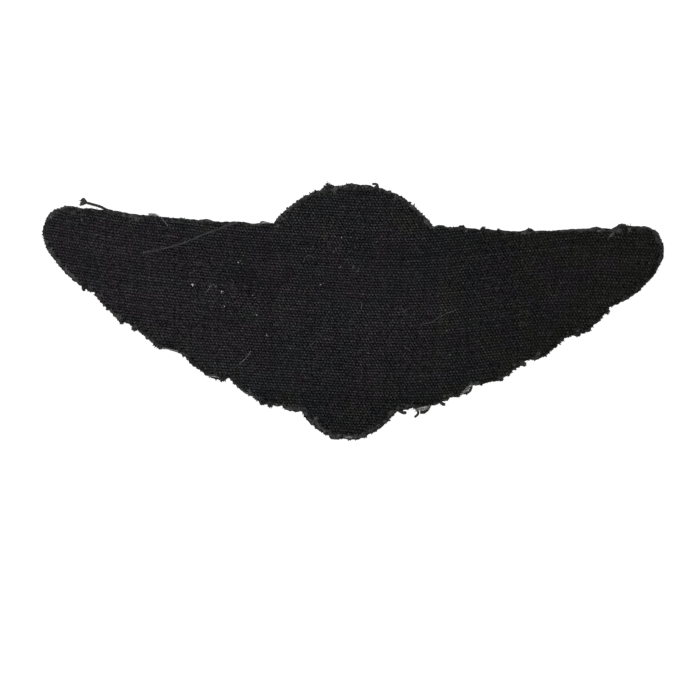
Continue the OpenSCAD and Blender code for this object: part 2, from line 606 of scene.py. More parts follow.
def press_felt():
    bm = cut_from_grid(FELT_CELLS, square_places, lambda places: places, felt_cut)
    top = felt_high.z - FELT_SKIN
    bottom = felt_low.z + FELT_SKIN
    for vert in bm.verts:
        vert.co.z = top
    rim = [e for e in bm.edges if e.is_boundary]
    below = doubled(bm, bm.verts[:])
    for face in bm.faces[:]:
        bm.faces.new([below[v] for v in face.verts])
    wall(bm, rim, below)
    for vert in below.values():
        vert.co.z = bottom
    side = round_edge(bm, bottom, top)
    free = puff_rim([v for v in bm.verts if v.co.z > top - FELT_SKIN])
    free.update(dict.fromkeys(side, True))
    bmesh.ops.recalc_face_normals(bm, faces=bm.faces)
    bm.normal_update()
    for vert in bm.verts:
        depth = sum(reach * noise.noise(vert.co / size) for size, reach in LUMPS)
        vert.co += vert.normal * depth * (FREE_LUMPS if free.get(vert) else 1)
    return finished(bm, "felt_wool")


felt = press_felt()

# %% [markdown]
# ## Strands
#
# Everything else is a strand: a wool hair, a cut yarn end, a loose thread or a bit of
# lint. A strand is a route of a few points with a radius at each, and a shade from 0,
# dark, to 1, pale. Thousands of them go into one curve object with a square bevel, which
# is then made a mesh and closed at the ends, so a short hair has about a dozen faces.
# Blender's own hair would render faster, but would be lost in an export.
#
# The shade is kept in a UV map: u is the strip of the map that has the strand's shade,
# and v runs from its root to its tip. A bake then needs no more room than the strips.

# %% Make a piece of many strands
STRIPS = 64
SIDES = 4


def map_strips(mesh, strands):
    """The UV map: across it the strips of shade, and up it the way along a strand."""
    lengths = [len(route) for route, _, _ in strands]
    shades = np.clip([shade for _, _, shade in strands], 0, 1)
    strip = np.repeat(np.round(shades * (STRIPS - 1)), np.array(lengths) * SIDES)
    along = np.concatenate([np.repeat(np.linspace(0, 1, n), SIDES) for n in lengths])
    side = np.tile(np.arange(SIDES), sum(lengths))
    u = (strip + 0.2 + 0.6 * side / (SIDES - 1)) / STRIPS
    spots = np.column_stack([u, 0.02 + 0.96 * along])
    while mesh.uv_layers:
        mesh.uv_layers.remove(mesh.uv_layers[0])
    layer = mesh.uv_layers.new(name="OFBake")
    corner = np.empty(len(mesh.loops), np.int32)
    mesh.loops.foreach_get("vertex_index", corner)
    layer.uv.foreach_set("vector", spots[corner].astype(np.float32).ravel())


def make_strands(name, strands):
    """One mesh of tapering strands. strands is a list of (route, radii, shade)."""
    curve = bpy.data.curves.new(name, "CURVE")
    curve.dimensions = "3D"
    curve.bevel_depth = 1
    curve.bevel_resolution = 0
    for route, radii, _ in strands:
        spline = curve.splines.new("POLY")
        spline.points.add(len(route) - 1)
        spline.points.foreach_set("co", np.column_stack([route, np.ones(len(route))]).ravel())
        spline.points.foreach_set("radius", radii)
    drawn = placed(name + "_curve", curve)
    shown = drawn.evaluated_get(bpy.context.evaluated_depsgraph_get())
    tubes = bpy.data.meshes.new_from_object(shown)
    bpy.data.objects.remove(drawn)
    bm = bmesh.new()
    bm.from_mesh(tubes)
    bpy.data.meshes.remove(tubes)
    bmesh.ops.holes_fill(bm, edges=[e for e in bm.edges if e.is_boundary], sides=SIDES)
    print(name, "is made of", len(strands), "strands")
    piece = finished(bm, name)
    map_strips(piece.data, strands)
    return piece


# %% The route and the radii of one strand
rng = np.random.default_rng(7)
UP = np.array([0, 0, 1])
HAIR_POINTS = 4
HAIR_RADIUS = 0.022 * MM


def unit(vector):
    """The direction of a vector."""
    return vector / np.linalg.norm(vector)


def bent(root, toward, length, curl, lowest=0, count=HAIR_POINTS):
    """A route that starts toward one way, curls another, and stays over a height."""
    run = np.linspace(0, 1, count)[:, None]
    route = root + length * (run * toward + run**2 * curl)
    route[:, 2] = np.maximum(route[:, 2], lowest)
    return route


def strand(route, radius, tip, shade):
    """A strand along a route, with a share of its radius left at the tip."""
    return route, radius * np.linspace(1, tip, len(route)), shade


def hair(root, toward, length, curl, radius, tip, shade, lowest=0):
    """A short strand that starts toward one way and curls another."""
    return strand(bent(root, toward, length, curl, lowest), radius, tip, shade)


def patchy(point, size, seed):
    """Smooth noise from -1 to 1, with patches of about that size."""
    return noise.noise((point[0] / size, point[1] / size, seed))


# %% [markdown]
# ## The fuzz of the felt
#
# Cut felt is fuzzy: short wool hairs stand out of its edge and lie over its rim. They
# make the silhouette soft, which no bump on the felt could do. They stand in tufts, and
# the hairs of a tuft share one lean and one shade, because wool clings together.

# %% Wool hairs round the edge and over the rim
EDGE_HAIRS = 4600
RIM_HAIRS = 2200
TUFT_SIZE = 0.7 * MM
HAIR_SHORTEST_MM = 0.12
HAIR_LONGEST_MM = 0.2
TUFT_REACH_MM = 0.16
RIM_HAIR_LENGTH = 0.42 * MM
RIM_TOP = felt_high.z + PUFF_HEIGHT


def wool_shade(point):
    """Shade of the wool: it changes from tuft to tuft, and a little from hair to hair."""
    tuft = 1.0 * patchy(point, 0.6 * MM, 3.1) + 0.3 * patchy(point, 3 * MM, 4.3)
    return 0.4 + tuft + rng.normal(0, 0.1)


def edge_hairs():
    """Hairs that stand out of the cut. Those low on it are alike in shade."""
    tufts = np.array([max(0, patchy(p, TUFT_SIZE, 2.5)) for p in felt_cut.points])
    chances = 0.25 + 2.2 * tufts
    rough = roughness(felt_cut)
    for k in rng.choice(felt_cut.count, size=EDGE_HAIRS, p=chances / chances.sum()):
        point, out, along = felt_cut.at(k)
        height = rng.uniform(0.05, 1.2)
        root = point + UP * (felt_low.z + height * (felt_high.z - felt_low.z)) - out * 0.1 * MM
        length_mm = min(HAIR_SHORTEST_MM + rng.exponential(0.04), HAIR_LONGEST_MM)
        length = (length_mm + TUFT_REACH_MM * tufts[k]) * (0.4 + 0.6 * rough[k]) * MM
        lean = 0.8 * patchy(point, 0.5 * MM, 6.6)
        toward = out + along * rng.normal(lean, 0.4) + UP * rng.normal(0.1, 0.35)
        curl = along * rng.normal(0, 0.4) - out * 0.3 + UP * rng.normal(0, 0.3)
        radius = HAIR_RADIUS * rng.uniform(1.2, 2.4)
        contrast = 1.0 if height > 0.9 else 0.35
        shade = 0.3 + (wool_shade(point) - 0.4) * contrast
        lowest = felt_low.z + 2.5 * HAIR_RADIUS
        yield hair(root, unit(toward), length, curl, radius, 0.6, shade, lowest)


def rim_hairs():
    """Hairs that lie every way over the rim."""
    for k in rng.integers(felt_cut.count, size=RIM_HAIRS):
        point, out, along = felt_cut.at(k)
        root = point + UP * (RIM_TOP - 0.12 * MM) - out * rng.uniform(0.0, 0.9) * MM
        toward = along * rng.normal(0, 1) + out * rng.normal(-0.2, 0.7) + UP * rng.uniform(0.1, 0.6)
        curl = along * rng.normal(0, 0.5) - UP * 0.35
        radius = HAIR_RADIUS * rng.uniform(0.8, 1.4)
        yield hair(root, unit(toward), RIM_HAIR_LENGTH, curl, radius, 0.4, wool_shade(point))


fuzz = make_strands("felt_fuzz", [*edge_hairs(), *rim_hairs()])

# %% [markdown]
# ## The cut yarn ends of the backing
#
# A yarn of the backing ends where the scissors met it. Where the edge runs across the
# wings, warp yarns stick out, and at the wing tips weft yarns do. Each end is a short
# stub that droops onto the felt, and where the edge is frayed the stubs are longer.

# %% Cut yarn ends
STUB_RADIUS = 0.08 * MM
STUB_SPACING = 5
STUB_SHORTEST_MM = 0.14
STUB_LONGEST_MM = 0.6
STUB_DROP = 0.16 * MM
ROOT_DEPTH = 0.12 * MM


def yarn_ends():
    """Stubs along the cut, each in the direction of its yarn."""
    for k in range(0, backing_cut.count, STUB_SPACING):
        point, out, along = backing_cut.at(k)
        yarn = np.sign(out) * (np.abs(out) == np.abs(out).max())
        frayed = max(0, patchy(point, 2.5 * MM, 9.1))
        length_mm = min(STUB_SHORTEST_MM + rng.exponential(0.05 + 0.12 * frayed), STUB_LONGEST_MM)
        toward = yarn + 0.4 * out + along * rng.normal(0, 0.25) - 0.15 * UP
        root = point - out * ROOT_DEPTH
        root[2] = backing_high.z - EDGE_ROLL - STUB_DROP - rng.uniform(0, 0.1) * MM
        curl = np.array([rng.normal(0, 0.3), rng.normal(0, 0.3), -0.3])
        radius = STUB_RADIUS * rng.uniform(0.7, 1.1)
        yield hair(root, toward, length_mm * MM, curl, radius, 0.5, rng.uniform())


stubs = make_strands("yarn_ends", list(yarn_ends()))

# %% [markdown]
# ## Loose threads
#
# A few threads hang out of the seam between the layers. A thread is spun of plies that
# wind round each other, so it is three strands on a helix and not one tube. At its cut
# end the fibres fan out in clumps. The threads' places are read off the photograph.

# %% Threads that hang out of the seam
# for each: places in pixels, heights of root and tip in mm, thickness and brush in pixels
THREADS_PX = (
    (((112, 211), (107, 210), (100.5, 206.5), (93, 204.3), (88, 202.8), (86, 202.3)),
     (1.5, 0.9), 2.1, 8.5),
    (((396, 408.5), (399.5, 411), (403, 412.8), (406, 413)), (1.5, 1.2), 2.5, 1.5),
    (((413, 404), (415.5, 408), (418, 411), (418.7, 413.5), (417.3, 415.4), (415, 417.2)),
     (2.0, 1.2), 1.9, 1),
    (((421, 412.5), (424.3, 412.3), (427.3, 410), (430, 405)), (1.2, 1.8), 2.8, 1.5),
    (((440, 401), (441.5, 403), (443, 404.4), (445, 404.6)), (1.6, 1.4), 2.5, 0.8),
    (((516, 361), (519, 362.2), (522.5, 363.6), (525.6, 364.6)), (1.6, 1.4), 3.7, 0.5),
    (((461.5, 391), (465.5, 393), (469, 392.4), (471, 389.5), (472, 385)), (1.8, 1.8), 1.9, 1),
    (((271, 224), (267, 222.5), (262, 221.2), (260.3, 222.3)), (1.7, 1.9), 1.2, 0.7),
    (((377.8, 190), (377.8, 187), (377.6, 184.3), (375.5, 183.5), (372.6, 183.7)),
     (1.6, 1.6), 1.8, 1),
)
THREAD_STEP = 0.06 * MM
PLY_TURN = 0.6 * MM
PLIES = 3


def run_along(route):
    """How far each point of a route is from its start, along the route."""
    return np.r_[0, np.cumsum(np.linalg.norm(np.diff(route, axis=0), axis=1))]


def smooth_route(spots, step):
    """A route through the spots in equal steps, with its corners rounded off."""
    run = run_along(spots)
    even = np.linspace(0, run[-1], max(8, round(run[-1] / step)))
    route = np.column_stack([np.interp(even, run, spots[:, k]) for k in range(3)])
    for _ in range(round(len(route) / 5)):
        route[1:-1] = (route[:-2] + 2 * route[1:-1] + route[2:]) / 4
    return route


def plied(route, thickness):
    """Strands that wind round a route."""
    ahead = np.gradient(route, axis=0)
    ahead /= np.linalg.norm(ahead, axis=1)[:, None]
    side = np.cross(ahead, UP)
    above = np.cross(side, ahead)
    run = run_along(route)
    for ply in range(PLIES):
        angle = (2 * math.pi * (run / PLY_TURN + ply / PLIES))[:, None]
        offset = side * np.cos(angle) + above * np.sin(angle)
        yield strand(route + offset * thickness * 0.3, 0.45 * thickness, 1, 0.2 + 0.25 * ply)


# %% The brush at the end of a thread, and its loose fibres
BRUSH_CLUMPS = 5
CLUMP_FIBRES = 16
BRUSH_RADIUS = 4 * HAIR_RADIUS
LOOSE_LENGTH = 0.3 * MM


def brush(tip, ahead, length):
    """Clumps of fibres that fan out of a cut end, with gaps between them."""
    side = np.cross(ahead, UP)
    for turn in np.linspace(-0.55, 0.6, BRUSH_CLUMPS):
        aim = ahead + side * (turn + rng.normal(0, 0.06))
        reach = length * rng.uniform(0.85, 1.0)
        for _ in range(CLUMP_FIBRES):
            toward = aim + rng.normal(0, 0.08, 3)
            fibre = reach * rng.uniform(0.75, 1.0)
            curl = rng.normal(0, 0.05, 3)
            shade = rng.uniform(0.3, 1.0)
            yield hair(tip, toward, fibre, curl, BRUSH_RADIUS, 0.9, shade, BRUSH_RADIUS)


def loose_fibre(point):
    """One thin fibre that has come loose from a thread."""
    toward = rng.normal(0, 0.5, 3)
    curl = rng.normal(0, 0.15, 3)
    return hair(point, toward, LOOSE_LENGTH, curl, HAIR_RADIUS, 0.4, 0.5, HAIR_RADIUS)


def hang_threads():
    strands = []
    for spots_px, heights, thickness_px, brush_px in THREADS_PX:
        spots = at_pixels(spots_px)
        spots[:, 2] = np.linspace(*heights, len(spots)) * MM
        route = smooth_route(spots, THREAD_STEP)
        ahead = unit(route[-1] - route[-4])
        strands += plied(route, thickness_px * PIXEL)
        strands += brush(route[-1] - ahead * 0.15 * MM, ahead, brush_px * PIXEL)
        strands += [loose_fibre(point) for point in route[2:-2:3]]
    return make_strands("loose_threads", strands)


threads = hang_threads()

# %% [markdown]
# ## Tufts along the edge
#
# In some places the edge carries a small tuft of wool or a fringe of pasted fluff. A
# tuft is a patch of hairs that share one lean. Between the tufts, short blunt spurs of
# clinging hairs stick out all along the cut. A noisier cut line could stand for them,
# but it would make steps, and hairs make points.

# %% Dark tufts and pale fringes
# for each: place in pixels, width along the edge and reach in pixels, lean in degrees
DARK_TUFTS_PX = (
    (304.5, 197, 3, 2.2, 0), (315, 191.5, 3, 2.2, 10), (328, 187, 6, 4.2, -5),
    (376, 186.5, 3, 1.6, 0), (442, 226.5, 4, 1.8, 0), (462, 226.5, 6, 1.8, 0),
    (483, 228.5, 4, 2.2, 10), (499, 230, 3, 1.8, 0), (530, 230, 5, 2.2, 0),
    (597, 228, 4, 1.6, 0), (623, 226, 10, 2.4, -8), (608.5, 312, 5, 2.0, 0),
    (589, 330, 5, 2.2, 0), (578, 335, 5, 2.0, 0), (502, 380, 5, 1.4, 0),
    (428, 406.5, 4, 2.6, 20), (83, 288.5, 3, 2.4, 0), (88, 290, 1.6, 1.8, 0),
    (121, 323, 4, 1.5, 0), (134, 328.5, 5, 2.8, 0), (159, 347, 6, 2.2, 0),
    (222, 379, 6, 2.8, 0), (270, 405, 5, 2.6, 0),
)
PALE_FRINGES_PX = (
    (50, 217, 3.5, 1.8, 0), (152.5, 213.5, 7, 2.4, 0), (266, 222, 8, 1.6, 20),
    (170, 350, 16, 1.0, 0), (213, 377, 14, 1.0, 0), (349.5, 438, 6, 1.4, 0),
    (422.5, 410, 8, 3, 0), (467, 391, 5, 3, 0),
)
# hairs to the square pixel, lowest and highest root in mm, how far they are held down
# along the edge, radius, and shade
DARK_WOOL = (4.5, (0.5, 2.1), 0, 3.2 * HAIR_RADIUS, 0.4)
PALE_FLUFF = (7, (1.7, 2.2), 0.75, 1.2 * HAIR_RADIUS, 0.55)


def grow_tufts(places, kind):
    """The hairs of the tufts at some places."""
    density, heights, flatness, thickness, tone = kind
    for x, y, width, reach, lean in places:
        spot = at_pixel(x, y)
        _, out, along = felt_line.at(felt_line.nearest_to_pixel(x, y))
        turn = math.radians(lean)
        aim = out * math.cos(turn) - along * math.sin(turn)
        for _ in range(round(density * width * reach)):
            share = rng.uniform(-1, 1)
            depth = rng.uniform(0, 1)
            root = spot + (along * share * width / 2 - aim * depth * reach) * PIXEL
            root[2] = rng.uniform(*heights) * MM
            length = reach * PIXEL * (depth + math.sqrt(1 - share**2) * rng.uniform(0.5, 0.85))
            toward = aim * (1 - flatness) + along * rng.normal(0, 0.15 + flatness)
            toward = toward + UP * rng.normal(0.05, 0.25)
            curl = rng.normal(0, 0.2, 3)
            radius = thickness * rng.uniform(0.8, 1.3)
            shade = tone + rng.normal(0, 0.15)
            yield hair(root, toward, length, curl, radius, 0.8, shade, 2 * thickness)


# %% Spurs of wool
SPURS = 380
SPUR_HAIRS = 3


def spurs():
    """Blunt points of wool, closer together where the edge is rough."""
    rough = np.array([0.15 + max(0, patchy(p, 2.2 * MM, 8.8)) for p in felt_cut.points])
    rough *= roughness(felt_cut) ** 3
    for k in rng.choice(felt_cut.count, size=SPURS, p=rough / rough.sum()):
        point, out, along = felt_cut.at(k)
        aim = out + along * rng.normal(0, 0.5)
        length = rng.uniform(0.13, 0.24) * MM
        root = point - out * ROOT_DEPTH
        root[2] = rng.uniform(0.6, 1.8) * MM
        for _ in range(SPUR_HAIRS):
            toward = aim + rng.normal(0, 0.35, 3)
            curl = rng.normal(0, 0.2, 3)
            radius = HAIR_RADIUS * rng.uniform(3, 4.5)
            yield hair(root, toward, length, curl, radius, 0.9, wool_shade(point))


dark_tufts = make_strands("dark_tufts", [*grow_tufts(DARK_TUFTS_PX, DARK_WOOL), *spurs()])
pale_fringes = make_strands("pale_fringes", list(grow_tufts(PALE_FRINGES_PX, PALE_FLUFF)))

# %% [markdown]
# ## Matted wool over the rim
#
# Handling rubs the wool of the rim over the edge of the cotton, where it mats into flat
# grey patches. The larger ones are listed by their place. Hundreds of small ones follow
# the edge of the cotton, so the rim gets light and dark spots and the line between the
# layers is broken up. A stain in the material could stand for them, but the hairs lie
# one on another, on the cotton, its rolled edge and the rim, and catch the light.

# %% The mats that show
# for each: place, half-length and half-width in pixels, turn in degrees, and shade
MATS_PX = (
    # left tip and top of the left wing
    (49.5, 217.5, 2.5, 1.5, 50, 0.9), (56.5, 212, 2, 1.3, 25, 0.85), (52, 214.5, 4, 1.6, 45, 0.5),
    (73, 212.5, 3.5, 2, 30, 0.5), (67, 209.5, 3, 1.1, 5, 0.4), (82, 220, 1.3, 1.2, 0, 0.7),
    (117.5, 213, 4.5, 1.6, -5, 0.4), (131, 217, 1.3, 1, 0, 0.9), (137, 219, 5, 1.7, 15, 0.7),
    (150, 217, 5, 2, 0, 0.35), (47, 229, 4, 1.3, 85, 0.4),
    # dome
    (283, 219, 1.6, 1.4, 45, 0.75), (289, 209.5, 2.2, 1.6, 45, 0.8), (297, 203, 3, 1.5, 40, 0.55),
    (306, 198, 2.2, 1.4, 35, 0.6), (318, 192.5, 3, 1.4, 20, 0.55), (333, 191, 3.2, 1.5, -10, 0.6),
    (327.5, 185.5, 2.5, 1.1, 0, 0.6), (395, 196, 2.2, 1.3, -50, 0.7),
    # top of the right wing
    (446, 226.8, 1.6, 1, 0, 0.65), (462, 228.5, 3, 1.2, 0, 0.5), (466, 230.5, 1.8, 1, 0, 0.9),
    (611.5, 235, 3.8, 1.3, 56, 0.85), (618, 230.5, 4.5, 2.5, 10, 0.65),
    (629.5, 229.5, 2.2, 1.4, 60, 0.8),
    # right tip
    (641, 230, 4, 1.4, -10, 0.3), (654, 232.5, 4, 1.6, -40, 0.45), (658, 241, 4.5, 1.8, -75, 0.5),
    (661, 251, 4.5, 1.2, 90, 0.4), (660, 259, 3.5, 1.4, 75, 0.55),
    # bottom of the right wing
    (625, 297.5, 3, 1.2, 40, 0.6), (578, 331, 1.6, 1.2, 40, 0.6), (538.5, 354, 3.5, 1.2, 30, 0.6),
    (507, 373, 1.6, 1.2, 40, 0.7), (500, 378, 2.5, 1.4, 40, 0.7), (450.5, 395, 2, 1.2, 25, 0.6),
    (398, 409, 2.2, 1.8, 60, 0.6), (411, 406, 4, 1.5, 0, 0.5), (391, 413, 4, 1.8, 45, 0.6),
    # lobe
    (385.5, 421, 1.6, 1.2, 50, 0.65), (378, 425.5, 1.6, 1.2, 50, 0.7), (371, 430, 4.5, 1.5, 35, 0.4),
    (362, 436.5, 3, 1.3, 10, 0.6), (349, 438.5, 2.6, 1.2, 0, 0.85), (331, 435.5, 5, 1.4, -20, 0.6),
    (317, 427, 4.5, 1.4, -45, 0.35),
    # bottom of the left wing
    (291, 408, 9, 1.4, 3, 0.6), (290, 409, 4, 1, 5, 0.9), (250, 393, 2.8, 1.5, -45, 0.7),
    (213, 376, 9, 1.7, -5, 0.65), (170, 349.5, 8, 1.1, -12, 0.8), (135, 326.5, 2, 1.5, -30, 0.7),
    (119, 319, 2, 1.3, -40, 0.7), (90, 288.5, 3.2, 1.3, -40, 0.6), (78.2, 281.3, 3, 1.3, -45, 0.75),
    (73, 276.3, 4, 1.4, -45, 0.85), (66.6, 270.3, 3, 1.5, -50, 1.0), (58.5, 261.1, 5, 1.2, -50, 0.7),
    (50.9, 250.4, 3.5, 1.3, -68, 0.85),
)
print(len(MATS_PX), "mats that show")

# %% Mats of wool, laid over the rim
MAT_HAIRS_PER_SQUARE_PX = 1.6
SMALL_MATS = 240
SMALL_MAT_HAIRS = 10
MAT_RADIUS = 0.03 * MM


def matted(spot, along, half_length, half_width, count, tone):
    """Hairs that lie over a patch, most of them along it."""
    across = np.array([-along[1], along[0], 0])
    for _ in range(count):
        middle = spot + along * rng.normal(0, 0.5) * half_length
        middle = middle + across * rng.normal(0, 0.5) * half_width
        toward = unit(along * rng.normal(0, 1) + across * rng.normal(0, 0.6))
        length = rng.uniform(1.2, 3.4) * PIXEL
        curl = rng.normal(0, 0.45, 3)
        radius = MAT_RADIUS * rng.uniform(0.7, 1.5)
        shade = tone + rng.normal(0, 0.14)
        yield hair(middle - toward * length / 2, toward, length, curl, radius, 0.6, shade)


def small_mats():
    for k in rng.integers(backing_cut.count, size=SMALL_MATS):
        point, out, along = backing_cut.at(k)
        spot = point + out * rng.normal(0.15, 0.2) * MM
        size = rng.uniform(1.2, 2.6) * PIXEL
        shade = 0.35 + 0.9 * patchy(point, 4 * MM, 5.5) + rng.normal(0, 0.15)
        yield from matted(spot, along, size, 0.6 * size, SMALL_MAT_HAIRS, shade)


def large_mats():
    for x, y, half_length, half_width, turn, shade in MATS_PX:
        count = round(MAT_HAIRS_PER_SQUARE_PX * math.pi * half_length * half_width)
        along = np.array([math.cos(math.radians(turn)), math.sin(math.radians(turn)), 0])
        spot = at_pixel(x, y)
        yield from matted(spot, along, half_length * PIXEL, half_width * PIXEL, count, shade)


def drape(hairs):
    """Lays hairs on the cotton, or on the rim where there is no cotton, and leaves out
    those that would hang over the edge."""
    spots = np.vstack([route[:, :2] for route, _, _ in hairs])
    gap = backing_cut.nearest(spots)[1]
    cotton_top = cloth_top - 0.1 * MM - EDGE_ROLL * np.exp(-gap / MM / ROLL_WIDTH_MM)
    under = np.where(backing_cut.inside(spots), cotton_top, RIM_TOP - 0.02 * MM)
    on_badge = felt_cut.inside(spots).reshape(-1, HAIR_POINTS).all(axis=1)
    for laid, heights, kept in zip(hairs, under.reshape(-1, HAIR_POINTS), on_badge):
        laid[0][:, 2] = heights + rng.uniform(0, 0.12) * MM
        if kept:
            yield laid


mats = make_strands("matted_wool", list(drape([*small_mats(), *large_mats()])))

# %% [markdown]
# ## Lint
#
# Dark cloth shows every bit of lint: a white speck of cotton fluff, a few dust specks,
# some single hairs, and one long faint wisp across the left wing. Short pale fibres are
# scattered over the cloth, more of them in the middle, where it is dusty. All of it is
# strands too, because paint in the material would follow the bumps of the weave.

# %% The lint that shows
# for each speck: place and width in pixels, and shade
SPECKS_PX = (
    (192.5, 284.7, 2.0, 0.8), (221.7, 291.3, 1.6, 0.6), (238.3, 262.5, 1.1, 0.6),
    (224.5, 306.2, 1.1, 0.6), (266.7, 335.3, 1.6, 0.4), (256.7, 315, 1.2, 0.5),
    (341.5, 237.8, 1.1, 0.55), (320.8, 284.6, 1.2, 0.5), (368.3, 353.3, 1.1, 0.3),
    (446.7, 330.8, 1.1, 0.35), (450, 355, 1.4, 0.25), (376.7, 241.7, 1.2, 0.2),
    (390.8, 396.7, 1.0, 0.25), (202, 286.5, 1.0, 0.25), (210, 286.5, 1.1, 0.35),
    (208.5, 289.5, 1.1, 0.35), (216, 286.7, 1.1, 0.3), (221.3, 293, 1.2, 0.4),
    (252.5, 295, 1.0, 0.3), (255.5, 297.5, 1.0, 0.25), (276, 289, 0.9, 0.2),
    (336, 248.8, 1.0, 0.25), (333.5, 252, 1.1, 0.25), (340.5, 267, 1.1, 0.3),
    (353, 267, 1.1, 0.3), (358, 271, 1.1, 0.35), (355, 247.5, 0.9, 0.2),
)
# for each hair: the spots that it passes, in pixels, and its shade
HAIRS_PX = (
    (((239.2, 364.2), (245.8, 358.3), (249, 354), (250.8, 350.8)), 0.6),
    (((303.7, 261.7), (304.7, 257.5), (308.3, 255), (312, 256.3), (314.2, 259.2)), 0.3),
    (((160.5, 216), (163, 220.5), (166, 223), (168, 226.5)), 0.6),
    (((231, 279.5), (234.5, 281), (233, 283.5), (231.5, 286), (232.5, 289)), 0.25),
    (((203, 295), (206, 292), (209.5, 288), (211, 282)), 0.2),
    (((257, 309), (259, 310), (262, 311.5)), 0.25),
    (((346.5, 255.5), (349, 252.5), (351.5, 249.5)), 0.15),
    (((350.5, 264.5), (353, 266), (356, 267.5)), 0.2),
    (((420, 324.2), (430, 323.3), (438, 318), (446.7, 313.3), (456.7, 310)), 0.25),
    (((206.7, 291.7), (210, 287), (213.3, 284.2), (216.7, 288.3)), 0.3),
    (((362, 303), (361.5, 306), (361.2, 309)), 0.4),
    (((398, 313), (404, 311), (408, 308.5), (410, 306.7)), 0.2),
    (((404, 346.7), (408, 348.7), (411.7, 351.7)), 0.25),
    (((306.7, 348.3), (311, 345), (316.7, 340)), 0.25),
)
WISP_PX = (
    (143, 252.8), (151, 251), (160, 249.5), (170, 247.3), (180, 244.5),
    (194, 239), (204, 234.3), (213, 231), (222, 227.5), (230, 224), (239, 222.5),
)
print(len(SPECKS_PX), "specks and", len(HAIRS_PX), "single hairs")

# %% Specks, hairs and a wisp on the cotton
LINT_RADIUS = 0.012 * MM
SPECK_POINTS = 5
SPECK_HAIRS_PER_PX = 14
WISP_HAIRS = 260
WISP_SPREAD = 0.1 * MM


def on_cloth(route):
    """Lays a route on the crowns of the cotton."""
    route[:, 2] = cloth_top - 0.05 * MM + 0.01 * MM * rng.normal(0, 1, len(route))
    return route


def single_hairs():
    for spots, shade in HAIRS_PX:
        route = on_cloth(smooth_route(at_pixels(spots, cloth_top), 0.12 * MM))
        yield strand(route, 1.5 * LINT_RADIUS, 0.7, shade)


def specks():
    """Small knots of fibres."""
    for x, y, width, shade in SPECKS_PX:
        spot = at_pixel(x, y, cloth_top - 0.04 * MM)
        reach = width * PIXEL * 0.4
        for _ in range(round(SPECK_HAIRS_PER_PX * width)):
            root = spot + rng.normal(0, 0.3, 3) * reach * (1, 0.6, 0.3)
            toward = rng.normal(0, 0.6, 3)
            curl = rng.normal(0, 0.6, 3)
            route = bent(root, toward, reach, curl, cloth_top - 0.06 * MM, SPECK_POINTS)
            yield strand(route, 1.8 * LINT_RADIUS, 0.7, shade)


def wisp():
    """Thin hairs that each follow a short stretch of one long line."""
    middle = smooth_route(at_pixels(WISP_PX, cloth_top), 0.4 * MM)
    for _ in range(WISP_HAIRS):
        start = max(0, rng.integers(-3, len(middle) - 4))
        stop = min(len(middle), start + rng.integers(2, 6))
        route = middle[start:stop].copy()
        wave = np.sin(np.linspace(0, rng.uniform(1, 4), len(route)) + rng.uniform(0, 6))
        route[:, 1] += rng.normal(0, WISP_SPREAD) + 0.5 * WISP_SPREAD * wave
        yield strand(on_cloth(route), LINT_RADIUS, 0.6, rng.uniform(0, 0.17))


# %% Short fibres all over the cloth
FIBRES = 340
FIBRE_POINTS = 6
# middle and half-width of the dusty region, in pixels
DUSTY_PX = ((285, 300), (75, 35))


def scattered_fibres():
    """Fibres all over the cloth, half of them in the dusty region."""
    made = 0
    while made < FIBRES:
        if made % 2:
            spot = at_pixel(*rng.normal(*DUSTY_PX), cloth_top)
        else:
            x = rng.uniform(backing_low.x, backing_high.x)
            spot = np.array([x, rng.uniform(backing_low.y, backing_high.y), cloth_top])
        if backing_cut.inside(spot[None, :2])[0]:
            made += 1
            angle = rng.uniform(0, 2 * math.pi)
            toward = np.array([math.cos(angle), math.sin(angle), 0])
            length = (0.2 + rng.exponential(0.25)) * MM
            route = on_cloth(bent(spot, toward, length, rng.normal(0, 0.4, 3), 0, FIBRE_POINTS))
            yield strand(route, 0.7 * LINT_RADIUS, 0.6, rng.uniform(0, 0.3))


hairs = list(single_hairs())
lint = make_strands("lint", [*specks(), *hairs, *wisp(), *scattered_fibres()])

# %% [markdown]
# ## Flat maps of the two layers
#
# Each layer gets a UV map for a bake. Its upper face is laid out as seen from above,
# its side is unrolled outwards round it, and its underside goes below in a part of its
# own. Smart UV Project would cut the weave into thousands of islands.

# %% Lay the layers out flat
MAP_MARGIN = 3 * MM
FACES_DOWN = -0.8


def map_layer(piece, line, side_top, below):
    """The UV map of a layer. side_top is the height under which its side begins, and
    below is the share of the map's height that its underside gets."""
    mesh = piece.data
    place = np.array([v.co for v in mesh.vertices])
    low, high = cad_box
    spots = place[:, :2].copy()
    depth = side_top - place[:, 2]
    side = np.flatnonzero(depth > 0)
    found = line.nearest(spots[side])[0]
    spots[side] += line.outward[found] * depth[side, None]
    start = np.array([low.x, low.y]) - MAP_MARGIN
    size = np.array([high.x, high.y]) + MAP_MARGIN - start
    upper = (spots - start) / size * (1, 1 - below) + (0, below)
    under = (place[:, :2] - start) / size * (1, below)
    layer = mesh.uv_layers.new(name="OFBake")
    for face in mesh.polygons:
        flat = under if face.normal.z < FACES_DOWN else upper
        for corner in face.loop_indices:
            layer.uv[corner].vector = flat[mesh.loops[corner].vertex_index]
    print(piece.name, "is mapped, with", len(side), "points below its upper face")


map_layer(backing, backing_cut, side_top=backing_high.z - 0.55 * MM, below=0.1)
map_layer(felt, felt_cut, side_top=felt_high.z - 0.18 * MM, below=0.5)

# %% [markdown]
# ## Writing finishes
#
# A finish is a network of shader nodes, and a network is easier to read as sums. The
# class Wire holds one socket of a node, and its operators add Math nodes, so
# `1 - mask` is a node too. Finish.add makes any other node. Colours are mixed by Mix
# nodes, because a Math node would turn them grey.

